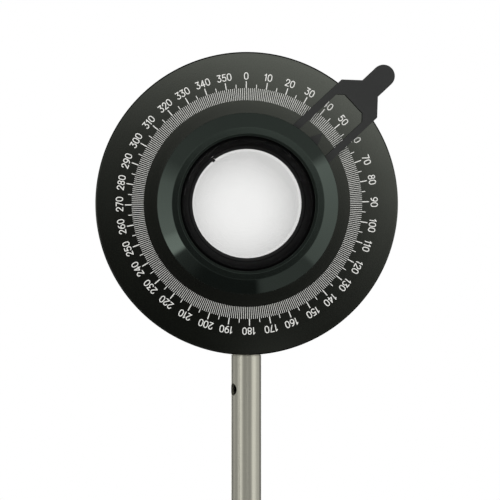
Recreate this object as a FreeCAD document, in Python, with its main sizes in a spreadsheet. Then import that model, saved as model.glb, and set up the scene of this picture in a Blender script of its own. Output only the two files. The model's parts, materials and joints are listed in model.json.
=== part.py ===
"""Mounted quarter-wave plate: an optic in a turning hub with a forked pointer, read on a graduated disc that
stands on a round rod.

The frame has +Z up and the front of the disc faces -Y. The origin is the centre of the rod's lower end. The
pieces on the optical axis are drawn with their own Z along that axis, out of the front face of the disc, so a
height in a profile is a distance in front of that face and a negative height lies behind it.
"""
import FreeCAD, Part
import math
import os
import re

import Sketcher

# Driving sizes in millimetres and degrees: name, value, meaning
SIZES = (
    ("axis_height", 150, "optical axis above the rod's lower end"),
    ("disc_radius", 50, "outer radius of the graduated disc"),
    ("disc_thick", 12, "thickness of the graduated disc"),
    ("disc_chamfer", 0.4, "chamfer of the disc's two rims"),
    ("rod_radius", 5, "radius of the rod"),
    ("neck_long", 1.4, "length of the turned neck at the rod's upper end"),
    ("neck_step", 0.3, "step from the rod in to its neck"),
    ("seat_depth", 0.8, "depth of the spot face in the rim that takes the rod's neck"),
    ("seat_gap", 0.2, "play round the neck in its spot face"),
    ("cross_radius", 2, "radius of the tommy bar hole through the rod"),
    ("cross_drop", 11.6, "tommy bar hole below the disc's lower edge"),
    ("cross_turn", 66, "turn of the tommy bar hole from the front towards the left"),
    ("stud_radius", 3, "radius of the stud between rod and disc"),
    ("stud_reach", 8, "length of stud in the rod, and in the disc"),
    ("stud_chamfer", 0.6, "chamfer of the stud's ends"),
    ("thread_gap", 0.05, "radial play drawn between a thread and its hole"),
    ("drill_extra", 0.5, "extra depth of a blind hole past its screw"),
    ("cut_start", 1, "distance outside a curved surface where a cut through it starts"),
    ("clear_radius", 18, "clear aperture: inner radius of the snap ring"),
    ("cell_step", 1.3, "step from the clear aperture out to the wall of the optic's cell"),
    ("seat_step", 0.6, "step from the clear aperture out to the seat behind the optic"),
    ("seat_thick", 1, "thickness of the seat behind the optic"),
    ("way_step", 1.2, "step from the cell's wall out to the clear way behind the seat"),
    ("barrel_wall", 3.7, "wall of the barrel round the optic's cell"),
    ("bore_gap", 0.06, "running clearance of the barrel in the disc"),
    ("barrel_rear", 19, "reach of the barrel behind the disc's front face"),
    ("shoulder_high", 4.2, "height of the barrel's shoulder under the hub's lip"),
    ("nose_step", 1.4, "step from the barrel in to its nose"),
    ("nose_high", 5, "height of the nose's front"),
    ("nose_rim", 0.4, "width of the nose's flat front round the funnel"),
    ("rear_chamfer", 1.2, "chamfer at the rear mouth of the barrel"),
    ("wire_radius", 0.75, "radius of the snap ring's wire"),
    ("ring_deep", 1, "depth of the snap ring's middle behind the disc's face"),
    ("groove_gap", 0.1, "play of the snap ring in its groove"),
    ("groove_land", 0.1, "straight stretch between the groove and the funnel"),
    ("ring_gap_angle", 1.6, "angle left open between the snap ring's ends"),
    ("ring_gap_turn", 37.5, "turn of the snap ring's gap from the top to the left"),
    ("lug_reach", 0.5, "reach of the snap ring's bent end into the aperture"),
    ("lug_wide", 1, "width of the snap ring's bent end"),
    ("lug_lap", 0.4, "part of that width that lies over the ring's gap"),
    ("lug_thick", 0.8, "thickness of the snap ring's bent end"),
    ("glass_gap", 0.1, "play of the glasses in their cell"),
    ("glass_thick", 2, "thickness of each cover glass"),
    ("film_inset", 0.2, "step from the glasses' edge in to the film's"),
    ("film_thick", 0.4, "thickness of the retarder film with its cement"),
    ("slip_thick", 0.3, "thickness of a slip ring"),
    ("slip_gap", 0.6, "gap between a slip ring and the barrel"),
    ("slip_inset", 0.4, "step from the pointer's root in to a slip ring's edge"),
    ("lever_thick", 1.2, "thickness of the pointer's sheet"),
    ("lever_turn", 46.9, "turn of the pointer from the top to the right"),
    ("root_inset", 0.8, "step from the hub ring's edge in to the pointer's root ring"),
    ("fork_sink", 3, "depth of the fork's inner end inside the root ring's edge"),
    ("window_sink", 1.5, "depth of the window's inner end inside the root ring's edge"),
    ("fork_half", 8.6, "half the width over the fork's legs"),
    ("leg_wide", 2.4, "width of each leg"),
    ("shoulder_reach", 0.7, "reach of the fork's shoulders beyond the disc's edge"),
    ("tab_half", 3.75, "half the width of the finger tab"),
    ("tab_long", 9.8, "length of the tab from its neck to its round tip"),
    ("window_inset", 1.9, "step from the disc's edge in to the window's outer edge"),
    ("window_cut", 2, "size of the window's two cut corners"),
    ("index_reach", 4.4, "reach of the index's tip beyond the hub ring's edge"),
    ("index_half", 3.1, "half the width of the index at its foot"),
    ("bevel_step", 2, "step from the barrel out to the bevel's inner edge"),
    ("bevel_wide", 4.8, "width of the bevel seen from the front"),
    ("bevel_high", 4.4, "height of the bevel's outer edge"),
    ("hub_high", 7.6, "height of the hub ring's front"),
    ("lip_gap", 0.6, "gap between the barrel's nose and the hub ring's lip"),
    ("lip_round", 0.8, "rounding of the lip"),
    ("edge_round", 0.3, "rounding of the bevel's edges"),
    ("screw_inset", 2.6, "step from the root ring's edge in to its circle of screws"),
    ("screw_radius", 1.25, "radius of those screws' threads"),
    ("screw_head", 2.3, "radius of their countersunk heads"),
    ("screw_long", 4.5, "length of those screws"),
    ("head_sink", 0.1, "depth of the heads below the back of the sheet"),
    ("screw_count", 3, "number of screws in each circle"),
    ("spring_thick", 0.4, "thickness of the wave spring's strip"),
    ("spring_free", 1.5, "height of the wave spring in place"),
    ("spring_gap", 0.8, "gap between the wave spring and the barrel"),
    ("spring_wide", 4, "width of the wave spring's strip"),
    ("spring_waves", 3, "number of waves round the spring"),
    ("collar_wide", 5.5, "width of the rear collar round the barrel"),
    ("collar_thick", 5, "thickness of the rear collar"),
    ("collar_chamfer", 0.5, "chamfer of the rear collar's rear rim"),
    ("grub_radius", 1.5, "radius of the collar's grub screws"),
    ("grub_inset", 1.1, "depth of the grub screws' outer ends below the collar's rim"),
    ("grub_point", 0.7, "length of a grub screw's pointed end"),
    ("grub_key", 0.87, "corner radius of a grub screw's hexagon socket"),
    ("grub_socket", 1.6, "depth of that socket"),
)

# Sizes that follow from the driving ones
WORKED_OUT = {
    "rod_top": "axis_height - disc_radius + seat_depth",
    "neck_radius": "rod_radius - neck_step",
    "cell_radius": "clear_radius + cell_step",
    "seat_radius": "clear_radius + seat_step",
    "way_radius": "cell_radius + way_step",
    "barrel_radius": "cell_radius + barrel_wall",
    "nose_radius": "barrel_radius - nose_step",
    "funnel_mouth": "nose_radius - nose_rim",
    "glass_radius": "cell_radius - glass_gap",
    "film_radius": "glass_radius - film_inset",
    "glass_front": "ring_deep + wire_radius + thread_gap",
    "cell_floor": "glass_front + 2 * glass_thick + film_thick",
    "lip_radius": "nose_radius + lip_gap",
    "bevel_inner": "barrel_radius + bevel_step",
    "hub_radius": "bevel_inner + bevel_wide",
    "root_radius": "hub_radius - root_inset",
    "lever_back": "slip_thick",
    "lever_front": "lever_back + lever_thick",
    "fork_start": "root_radius - fork_sink",
    "window_start": "root_radius - window_sink",
    "window_half": "fork_half - leg_wide",
    "window_top": "disc_radius - window_inset",
    "index_out": "hub_radius + index_reach",
    "shoulder_out": "disc_radius + shoulder_reach",
    "neck_out": "shoulder_out + fork_half - tab_half",
    "tip_out": "neck_out + tab_long",
    "screw_circle": "root_radius - screw_inset",
    "slip_inner": "barrel_radius + slip_gap",
    "slip_outer": "root_radius - slip_inset",
    "spring_inner": "barrel_radius + spring_gap",
    "spring_outer": "spring_inner + spring_wide",
    "collar_front": "disc_thick + slip_thick + spring_free",
    "collar_radius": "barrel_radius + collar_wide",
}

UPRIGHT = "placement(vector(0; 0; 0); rotation(vector(0; 0; 1); {turn}))"
ON_AXIS = (
    "placement(vector(0; -disc_thick / 2; axis_height);"
    " rotation(vector(1; 0; 0); 90) * rotation(vector(0; 0; 1); {turn}))"
)

doc = FreeCAD.newDocument("QuarterWavePlate")
sheet = doc.addObject("Spreadsheet::Sheet", "Sizes")
for row, (name, value, meaning) in enumerate(SIZES, start=1):
    sheet.set(f"A{row}", name)
    sheet.set(f"B{row}", str(value))
    sheet.setAlias(f"B{row}", name)
    sheet.set(f"C{row}", meaning)
doc.recompute()


def linked(formula):
    """The formula with its sizes written as cells of the sheet."""
    while re.search(rf"\b({'|'.join(WORKED_OUT)})\b", formula):
        formula = re.sub(
            rf"\b({'|'.join(WORKED_OUT)})\b", lambda found: f"({WORKED_OUT[found[0]]})", formula
        )
    return re.sub(rf"\b({'|'.join(row[0] for row in SIZES)})\b", r"Sizes.\1", formula)


def size(formula):
    """The formula's present value."""
    return float(sheet.evalExpression(linked(formula)))


def new_body(label, placement=ON_AXIS, turn="0"):
    body = doc.addObject("PartDesign::Body", label)
    body.Label = label
    body.setExpression("Placement", linked(placement.format(turn=turn)))
    return body


def origin_feature(body, role):
    return next(item for item in body.Origin.OriginFeatures if item.Role == role)


def new_sketch(body, name, plane, offset="0"):
    """A sketch on one of the body's origin planes, moved along the plane's normal."""
    sketch = body.newObject("Sketcher::SketchObject", name)
    sketch.AttachmentSupport = (origin_feature(body, plane), [""])
    sketch.MapMode = "FlatFace"
    sketch.setExpression("AttachmentOffset.Base.z", linked(offset))
    return sketch


def pin_point(sketch, line, end, place):
    """Ties one end of a line to the two formulas of its place."""
    for kind, formula in zip(("DistanceX", "DistanceY"), place):
        rule = Sketcher.Constraint(kind, -1, 1, line, end, size(formula))
        sketch.setExpression(f"Constraints[{sketch.addConstraint(rule)}]", linked(formula))


def draw_outline(sketch, points):
    """A closed outline of straight lines through points given as pairs of formulas."""
    places = [FreeCAD.Vector(size(across), size(up), 0) for across, up in points]
    lines = []
    for start, end in zip(places, places[1:] + places[:1]):
        lines.append(sketch.addGeometry(Part.LineSegment(start, end), False))
    for line, following in zip(lines, lines[1:] + lines[:1]):
        sketch.addConstraint(Sketcher.Constraint("Coincident", line, 2, following, 1))
    for line, point in zip(lines, points):
        pin_point(sketch, line, 1, point)


def draw_axis(sketch, start, end):
    """A construction line to revolve about."""
    places = [FreeCAD.Vector(size(across), size(up), 0) for across, up in (start, end)]
    line = sketch.addGeometry(Part.LineSegment(*places), True)
    pin_point(sketch, line, 1, start)
    pin_point(sketch, line, 2, end)


def draw_circle(sketch, centre, radius):
    place = FreeCAD.Vector(size(centre[0]), size(centre[1]), 0)
    normal = FreeCAD.Vector(0, 0, 1)
    circle = sketch.addGeometry(Part.Circle(place, normal, size(radius)), False)
    pin_point(sketch, circle, 3, centre)
    rule = Sketcher.Constraint("Radius", circle, size(radius))
    sketch.setExpression(f"Constraints[{sketch.addConstraint(rule)}]", linked(radius))


def revolve(body, name, profile, axis=None, kind="Revolution"):
    """Turns a profile of (radius, height) formulas about the body's Z, or about another line."""
    sketch = new_sketch(body, f"{name}_profile", "XZ_Plane")
    draw_outline(sketch, profile)
    if axis:
        draw_axis(sketch, *axis)
    before = 0 if kind == "Revolution" else body.Shape.Volume
    turn = body.newObject(f"PartDesign::{kind}", name)
    turn.Profile = sketch
    turn.ReferenceAxis = (sketch, ["Axis0" if axis else "V_Axis"])
    turn.Angle = 360
    doc.recompute()
    if kind == "Groove" and body.Shape.Volume >= before:
        raise RuntimeError(f"{name} cuts nothing from {body.Label}")
    return turn


def pad(body, name, sketch, length):
    feature = body.newObject("PartDesign::Pad", name)
    feature.Profile = sketch
    feature.setExpression("Length", linked(length))
    doc.recompute()
    return feature


def pocket(body, name, sketch, length=None):
    """Cuts against the sketch's normal, or through both ways where no length is given."""
    before = body.Shape.Volume
    feature = body.newObject("PartDesign::Pocket", name)
    feature.Profile = sketch
    if length:
        feature.setExpression("Length", linked(length))
    else:
        feature.Type = "ThroughAll"
        feature.Midplane = True
    doc.recompute()
    if body.Shape.Volume >= before:
        raise RuntimeError(f"{name} cuts nothing from {body.Label}")
    return feature


def round_edges(body, name, radius, places):
    """Rounds the circular edges at the given (radius, height) formulas."""
    wanted = [(size(across), size(up)) for across, up in places]
    edges = []
    solid = body.Tip
    for number, edge in enumerate(solid.Shape.Edges, start=1):
        curve = edge.Curve
        if isinstance(curve, Part.Circle):
            for across, up in wanted:
                if math.isclose(curve.Radius, across, abs_tol=1e-4) and math.isclose(
                    curve.Center.z, up, abs_tol=1e-4
                ):
                    edges.append(f"Edge{number}")
    rounding = body.newObject("PartDesign::Fillet", name)
    rounding.Base = (solid, edges)
    rounding.setExpression("Radius", linked(radius))
    doc.recompute()
    return rounding


def ring_pattern(body, name, features):
    """Repeats features round the body's Z as often as a circle has screws."""
    pattern = body.newObject("PartDesign::PolarPattern", name)
    pattern.Originals = features
    pattern.Axis = (origin_feature(body, "Z_Axis"), [""])
    pattern.Angle = 360
    pattern.setExpression("Occurrences", linked("screw_count"))
    body.Tip = pattern
    doc.recompute()
    return pattern


def plain_ring(label, inner, outer, back, front):
    """A flat ring or disc on the optical axis."""
    body = new_body(label)
    revolve(body, "ring", [(inner, back), (outer, back), (outer, front), (inner, front)])
    return body


def make_scale_disc():
    """The graduated disc, with the barrel's bore and the rod's seat in its rim."""
    body = new_body("scale_disc")
    bore = "barrel_radius + bore_gap"
    revolve(body, "plate", [
        (bore, "-disc_thick"),
        ("disc_radius - disc_chamfer", "-disc_thick"),
        ("disc_radius", "disc_chamfer - disc_thick"),
        ("disc_radius", "-disc_chamfer"),
        ("disc_radius - disc_chamfer", "0"),
        (bore, "0"),
    ])
    middle = ("0", "-disc_thick / 2")
    seat = new_sketch(body, "seat_circle", "XZ_Plane", "disc_radius")
    draw_circle(seat, middle, "neck_radius + seat_gap")
    pocket(body, "rod_seat", seat, "seat_depth")
    thread = new_sketch(body, "thread_circle", "XZ_Plane", "disc_radius")
    draw_circle(thread, middle, "stud_radius + thread_gap")
    pocket(body, "thread_hole", thread, "seat_depth + stud_reach + drill_extra")


def make_rod():
    """The stem, with a threaded hole in its top and the tommy bar hole across it."""
    body = new_body("rod", UPRIGHT, "-cross_turn")
    revolve(body, "stem", [
        ("0", "0"),
        ("rod_radius", "0"),
        ("rod_radius", "rod_top - neck_long"),
        ("neck_radius", "rod_top - neck_long"),
        ("neck_radius", "rod_top"),
        ("0", "rod_top"),
    ])
    thread = new_sketch(body, "thread_circle", "XY_Plane", "rod_top")
    draw_circle(thread, ("0", "0"), "stud_radius + thread_gap")
    pocket(body, "thread_hole", thread, "stud_reach + drill_extra")
    cross = new_sketch(body, "cross_circle", "XZ_Plane")
    draw_circle(cross, ("0", "axis_height - disc_radius - cross_drop"), "cross_radius")
    pocket(body, "cross_hole", cross)


def make_rod_stud():
    """The threaded stud that joins the rod to the disc."""
    body = new_body("rod_stud", UPRIGHT)
    low = "rod_top - stud_reach"
    high = "rod_top + stud_reach"
    revolve(body, "stud", [
        ("0", low),
        ("stud_radius - stud_chamfer", low),
        ("stud_radius", f"{low} + stud_chamfer"),
        ("stud_radius", f"{high} - stud_chamfer"),
        ("stud_radius - stud_chamfer", high),
        ("0", high),
    ])


def make_barrel():
    """The barrel that turns in the disc: nose, funnel, snap ring groove, optic cell and clear way."""
    body = new_body("barrel")
    groove_radius = "clear_radius + 2 * wire_radius + groove_gap"
    groove_front = "wire_radius + groove_gap - ring_deep"
    groove_back = "-wire_radius - groove_gap - ring_deep"
    revolve(body, "tube", [
        ("barrel_radius", "-barrel_rear"),
        ("barrel_radius", "shoulder_high"),
        ("nose_radius", "shoulder_high"),
        ("nose_radius", "nose_high"),
        ("funnel_mouth", "nose_high"),
        ("cell_radius", f"{groove_front} + groove_land"),
        ("cell_radius", groove_front),
        (groove_radius, groove_front),
        (groove_radius, groove_back),
        ("cell_radius", groove_back),
        ("cell_radius", "-cell_floor"),
        ("seat_radius", "-cell_floor"),
        ("seat_radius", "-cell_floor - seat_thick"),
        ("way_radius", "-cell_floor - seat_thick"),
        ("way_radius", "rear_chamfer - barrel_rear"),
        ("way_radius + rear_chamfer", "-barrel_rear"),
    ])


def make_hub_ring():
    """The bevelled ring on the front, screwed on the barrel and tapped at the back for the pointer."""
    body = new_body("hub_ring", turn="-lever_turn")
    inner = "barrel_radius + thread_gap"
    revolve(body, "ring", [
        (inner, "lever_front"),
        ("hub_radius", "lever_front"),
        ("hub_radius", "bevel_high"),
        ("bevel_inner", "hub_high"),
        ("lip_radius", "hub_high"),
        ("lip_radius", "shoulder_high"),
        (inner, "shoulder_high"),
    ])
    round_edges(body, "lip", "lip_round", [("lip_radius", "hub_high")])
    round_edges(body, "bevel", "edge_round", [("hub_radius", "bevel_high"), ("bevel_inner", "hub_high")])
    hole = new_sketch(body, "thread_circle", "XY_Plane", "lever_back + screw_long + drill_extra")
    draw_circle(hole, ("screw_circle", "0"), "screw_radius + thread_gap")
    cut = pocket(body, "thread_hole", hole, "screw_long + drill_extra")
    ring_pattern(body, "thread_holes", [cut])


def make_pointer_lever():
    """The forked pointer of flat sheet: root ring, two legs, index, window, shoulders and finger tab."""
    body = new_body("pointer_lever", turn="-lever_turn")
    fork = new_sketch(body, "fork_outline", "XY_Plane", "lever_back")
    round_start = "tip_out - tab_half"
    draw_outline(fork, [
        ("-fork_half", "fork_start"),
        ("-fork_half", "shoulder_out"),
        ("-tab_half", "neck_out"),
        ("-tab_half", round_start),
        ("tab_half", round_start),
        ("tab_half", "neck_out"),
        ("fork_half", "shoulder_out"),
        ("fork_half", "fork_start"),
    ])
    draw_outline(fork, [
        ("-window_half", "window_start"),
        ("-window_half", "window_top - window_cut"),
        ("window_cut - window_half", "window_top"),
        ("window_half - window_cut", "window_top"),
        ("window_half", "window_top - window_cut"),
        ("window_half", "window_start"),
        ("index_half", "window_start"),
        ("0", "index_out"),
        ("-index_half", "window_start"),
    ])
    pad(body, "fork", fork, "lever_thick")
    tip = new_sketch(body, "tip_circle", "XY_Plane", "lever_back")
    draw_circle(tip, ("0", round_start), "tab_half")
    pad(body, "tip", tip, "lever_thick")
    root = new_sketch(body, "root_circle", "XY_Plane", "lever_back")
    draw_circle(root, ("0", "0"), "root_radius")
    pad(body, "root", root, "lever_thick")
    bore = new_sketch(body, "bore_circle", "XY_Plane", "lever_front")
    draw_circle(bore, ("0", "0"), "barrel_radius + thread_gap")
    pocket(body, "bore", bore, "lever_thick")
    wall = "screw_circle + screw_radius + thread_gap"
    sink = revolve(body, "countersink", [
        ("screw_circle", "lever_back"),
        ("screw_circle + screw_head", "lever_back"),
        (wall, "lever_back + screw_head - screw_radius"),
        (wall, "lever_front"),
        ("screw_circle", "lever_front"),
    ], (("screw_circle", "lever_back"), ("screw_circle", "lever_front")), "Groove")
    ring_pattern(body, "countersinks", [sink])


def make_lever_screws():
    """The countersunk screws that hold the pointer's root to the hub ring from behind."""
    body = new_body("lever_screws", turn="-lever_turn")
    body.AllowCompound = True
    back = "lever_back + head_sink"
    tip = "lever_back + screw_long"
    screw = revolve(body, "screw", [
        ("screw_circle", back),
        ("screw_circle + screw_head - head_sink - thread_gap", back),
        ("screw_circle + screw_radius", "lever_back + screw_head - screw_radius"),
        ("screw_circle + screw_radius", tip),
        ("screw_circle", tip),
    ], (("screw_circle", back), ("screw_circle", tip)))
    ring_pattern(body, "screws", [screw])


def make_snap_ring():
    """The open ring of round wire in front of the optic, one end bent inwards as a lug."""
    body = new_body("snap_ring", turn="90 + ring_gap_turn")
    sketch = new_sketch(body, "wire_circle", "XZ_Plane")
    draw_circle(sketch, ("clear_radius + wire_radius", "-ring_deep"), "wire_radius")
    turn = body.newObject("PartDesign::Revolution", "wire")
    turn.Profile = sketch
    turn.ReferenceAxis = (sketch, ["V_Axis"])
    turn.setExpression("Angle", linked("360 - ring_gap_angle"))
    doc.recompute()
    lug = new_sketch(body, "lug_outline", "XY_Plane", "-ring_deep - lug_thick / 2")
    draw_outline(lug, [
        ("clear_radius - lug_reach", "-lug_lap"),
        ("clear_radius + wire_radius", "-lug_lap"),
        ("clear_radius + wire_radius", "lug_wide - lug_lap"),
        ("clear_radius - lug_reach", "lug_wide - lug_lap"),
    ])
    pad(body, "lug", lug, "lug_thick")


def make_optic():
    """The retarder film between its two cover glasses."""
    film_front = "-glass_front - glass_thick"
    film_back = f"{film_front} - film_thick"
    plain_ring("front_glass", "0", "glass_radius", film_front, "-glass_front")
    plain_ring("retarder_film", "0", "film_radius", film_back, film_front)
    plain_ring("rear_glass", "0", "glass_radius", "-cell_floor", film_back)


def make_slip_rings():
    """The two thin plastic rings that the pointer and the spring slide on."""
    plain_ring("front_slip_ring", "slip_inner", "slip_outer", "0", "slip_thick")
    plain_ring("rear_slip_ring", "slip_inner", "slip_outer", "-disc_thick - slip_thick", "-disc_thick")


def make_wave_spring():
    """The wavy flat ring that presses the rear collar away from the disc."""
    swing = (size("spring_free") - size("spring_thick")) / 2
    middle = -size("disc_thick + slip_thick + spring_free / 2 + spring_thick / 2")
    waves = int(size("spring_waves"))
    steps = 8 * waves
    edges = []
    for radius in (size("spring_inner"), size("spring_outer")):
        points = []
        for step in range(steps):
            angle = 2 * math.pi * step / steps
            height = middle + swing * math.cos(waves * angle)
            points.append(FreeCAD.Vector(radius * math.cos(angle), radius * math.sin(angle), height))
        curve = Part.BSplineCurve()
        curve.interpolate(points, PeriodicFlag=True)
        edges.append(curve.toShape())
    strip = Part.makeRuledSurface(*edges)
    feature = doc.addObject("Part::Feature", "wave_spring")
    feature.Label = "wave_spring"
    feature.Shape = Part.Solid(strip.extrude(FreeCAD.Vector(0, 0, size("spring_thick"))))
    feature.setExpression("Placement", linked(ON_AXIS.format(turn="0")))


def make_rear_collar():
    """The collar on the barrel behind the spring, tapped for its grub screws."""
    body = new_body("rear_collar")
    inner = "barrel_radius + thread_gap"
    back = "-collar_front - collar_thick"
    revolve(body, "ring", [
        (inner, back),
        ("collar_radius - collar_chamfer", back),
        ("collar_radius", f"{back} + collar_chamfer"),
        ("collar_radius", "-collar_front"),
        (inner, "-collar_front"),
    ])
    hole = new_sketch(body, "thread_circle", "YZ_Plane", "collar_radius + cut_start")
    draw_circle(hole, ("0", "-collar_front - collar_thick / 2"), "grub_radius + thread_gap")
    cut = pocket(body, "thread_hole", hole, "collar_radius + cut_start - barrel_radius")
    ring_pattern(body, "thread_holes", [cut])


def make_collar_screws():
    """The pointed grub screws that lock the collar on the barrel."""
    body = new_body("collar_screws")
    body.AllowCompound = True
    level = "-collar_front - collar_thick / 2"
    tip = "barrel_radius + thread_gap"
    end = "collar_radius - grub_inset"
    screw = revolve(body, "screw", [
        (tip, level),
        (f"{tip} + grub_point", f"{level} + grub_radius"),
        (end, f"{level} + grub_radius"),
        (end, level),
    ], ((tip, level), (end, level)))
    socket = new_sketch(body, "socket_outline", "YZ_Plane", end)
    draw_outline(socket, [
        (f"grub_key * cos({60 * corner})", f"{level} + grub_key * sin({60 * corner})")
        for corner in range(6)
    ])
    cut = pocket(body, "socket", socket, "grub_socket")
    ring_pattern(body, "screws", [screw, cut])


def export_pieces():
    """Checks every object and writes each piece to a file of its own."""
    doc.recompute()
    for item in doc.Objects:
        if {"Invalid", "Error"} & set(item.State):
            raise RuntimeError(f"{item.Label} is {item.State}")
    os.makedirs("parts", exist_ok=True)
    pieces = doc.findObjects("PartDesign::Body") + [doc.getObject("wave_spring")]
    for piece in pieces:
        shape = piece.Shape
        if shape.isNull() or not shape.isValid():
            raise RuntimeError(f"{piece.Label} has no valid shape")
        shape.exportStep(f"parts/{piece.Label}.step")
        print(f"{piece.Label}: {len(shape.Solids)} solid, {shape.Volume:.1f} mm3")


make_scale_disc()
make_rod()
make_rod_stud()
make_barrel()
make_hub_ring()
make_pointer_lever()
make_lever_screws()
make_snap_ring()
make_optic()
make_slip_rings()
make_wave_spring()
make_rear_collar()
make_collar_screws()
export_pieces()
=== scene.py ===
"""Looks of a mounted quarter-wave plate: graduated disc, turning hub with a forked pointer, optic and rod.

Lengths are metres. The front of the disc faces -Y and the optical axis is level. A height is a distance in
front of the disc's front face, and a turn is an angle clockwise from the top as the front view shows it.
"""
import json
import math

import bmesh
import bpy
from bpy.props import FloatProperty, FloatVectorProperty, PointerProperty
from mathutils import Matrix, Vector
from mathutils.geometry import tessellate_polygon

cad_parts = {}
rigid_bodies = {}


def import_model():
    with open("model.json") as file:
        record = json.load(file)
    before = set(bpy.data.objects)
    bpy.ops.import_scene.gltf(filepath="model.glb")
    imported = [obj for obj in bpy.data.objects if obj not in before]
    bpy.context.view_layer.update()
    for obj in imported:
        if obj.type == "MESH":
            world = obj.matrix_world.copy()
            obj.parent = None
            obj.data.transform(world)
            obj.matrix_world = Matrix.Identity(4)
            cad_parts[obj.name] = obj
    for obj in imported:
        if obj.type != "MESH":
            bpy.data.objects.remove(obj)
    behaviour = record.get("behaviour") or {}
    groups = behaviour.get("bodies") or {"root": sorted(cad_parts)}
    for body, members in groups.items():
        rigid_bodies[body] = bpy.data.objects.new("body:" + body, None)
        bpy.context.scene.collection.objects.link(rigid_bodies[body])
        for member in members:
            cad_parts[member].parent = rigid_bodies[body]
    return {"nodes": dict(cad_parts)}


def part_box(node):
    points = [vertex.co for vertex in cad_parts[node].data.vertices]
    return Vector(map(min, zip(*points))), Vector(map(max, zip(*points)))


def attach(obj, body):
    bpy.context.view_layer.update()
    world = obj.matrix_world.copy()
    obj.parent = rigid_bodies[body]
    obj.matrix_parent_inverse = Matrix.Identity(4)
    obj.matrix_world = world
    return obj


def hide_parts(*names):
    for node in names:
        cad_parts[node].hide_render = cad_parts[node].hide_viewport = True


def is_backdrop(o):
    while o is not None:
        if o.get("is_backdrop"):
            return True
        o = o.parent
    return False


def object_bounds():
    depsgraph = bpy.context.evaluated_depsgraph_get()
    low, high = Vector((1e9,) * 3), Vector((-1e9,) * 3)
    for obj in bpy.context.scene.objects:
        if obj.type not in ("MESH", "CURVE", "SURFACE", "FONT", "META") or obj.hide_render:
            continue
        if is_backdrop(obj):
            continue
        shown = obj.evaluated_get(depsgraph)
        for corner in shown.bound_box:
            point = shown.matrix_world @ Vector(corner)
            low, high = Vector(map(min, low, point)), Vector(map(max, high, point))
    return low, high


bl_info = {
    "name": "Mounted Quarter-Wave Plate",
    "version": (1, 0, 0),
    "blender": (4, 5, 0),
    "location": "View3D > Sidebar > Wave Plate",
    "description": "Builds the dressed pieces and the stage of a quarter-wave plate in a rotation mount",
    "category": "Add Mesh",
}

for startup_thing in list(bpy.data.objects):
    bpy.data.objects.remove(startup_thing)
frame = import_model()
cad_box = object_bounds()

disc_low, disc_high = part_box("scale_disc")
hub_low, hub_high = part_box("hub_ring")
rod_low, rod_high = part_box("rod")
AXIS_Z = (disc_low.z + disc_high.z) / 2
FACE_Y = disc_low.y
DISC_RADIUS = (disc_high.x - disc_low.x) / 2
DISC_THICK = disc_high.y - disc_low.y
HUB_RADIUS = hub_high.x
HUB_HIGH = FACE_Y - hub_low.y
ROD_TOP = rod_high.z
ROD_RADIUS = rod_high.x
MM = 0.001
# Width of the strip that keeps a flat face's shading apart from its rounded edge
GUARD = 0.03 * MM
FULL_TURN = 2 * math.pi
# Radius of the holes that sit on the barrel
BARREL_FIT = 23.05 * MM
# Radius of the holes for the stud between rod and disc
STUD_HOLE = 3.05 * MM
# Box in which the digits' strokes are drawn
DIGIT_WIDE = 1.2
DIGIT_HIGH = 2.15


# Points and meshes


def about_axis(radius, turn, height):
    """Point at a radius and a turn about the optical axis, at a height in front of the disc."""
    return Vector((radius * math.sin(turn), FACE_Y - height, AXIS_Z + radius * math.cos(turn)))


def about_rod(radius, turn, height):
    """Point at a radius and a turn about the rod, at a height above its lower end."""
    return Vector((radius * math.cos(turn), radius * math.sin(turn), height))


def arc_points(centre, radii, start, end, steps):
    """Points along an elliptical arc from one angle to another, in degrees from +X towards +Y."""
    points = []
    for step in range(steps + 1):
        angle = math.radians(start + (end - start) * step / steps)
        points.append((centre[0] + radii[0] * math.cos(angle), centre[1] + radii[1] * math.sin(angle)))
    return points


def eased(corners, steps=6):
    """Outline through corners (across, up, rounding), with each rounding drawn as an arc."""
    points = []
    for before, corner, after in zip(corners[-1:] + corners[:-1], corners, corners[1:] + corners[:1]):
        here = Vector(corner[:2])
        if not corner[2]:
            points.append(tuple(here))
            continue
        into = (Vector(before[:2]) - here).normalized()
        out = (Vector(after[:2]) - here).normalized()
        half = into.angle(out) / 2
        centre = here + (into + out).normalized() * corner[2] / math.sin(half)
        start = here + into * corner[2] / math.tan(half) - centre
        end = here + out * corner[2] / math.tan(half) - centre
        sweep = math.pi - 2 * half
        if start.x * end.y - start.y * end.x < 0:
            sweep = -sweep
        points.append(tuple(centre + start + into * GUARD))
        for step in range(steps + 1):
            angle = sweep * step / steps
            points.append((
                centre.x + start.x * math.cos(angle) - start.y * math.sin(angle),
                centre.y + start.x * math.sin(angle) + start.y * math.cos(angle),
            ))
        points.append(tuple(centre + end + out * GUARD))
    return points


def finished_mesh(name, vertices, faces, crease=30):
    """Mesh with outward faces, joined vertices and smooth shading up to a crease angle in degrees."""
    mesh = bpy.data.meshes.new(name)
    mesh.from_pydata([tuple(vertex) for vertex in vertices], [], faces)
    work = bmesh.new()
    work.from_mesh(mesh)
    bmesh.ops.remove_doubles(work, verts=work.verts, dist=1e-7)
    bmesh.ops.recalc_face_normals(work, faces=work.faces)
    work.to_mesh(mesh)
    work.free()
    mesh.polygons.foreach_set("use_smooth", [True] * len(mesh.polygons))
    mesh.set_sharp_from_angle(angle=math.radians(crease))
    return mesh


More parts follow.
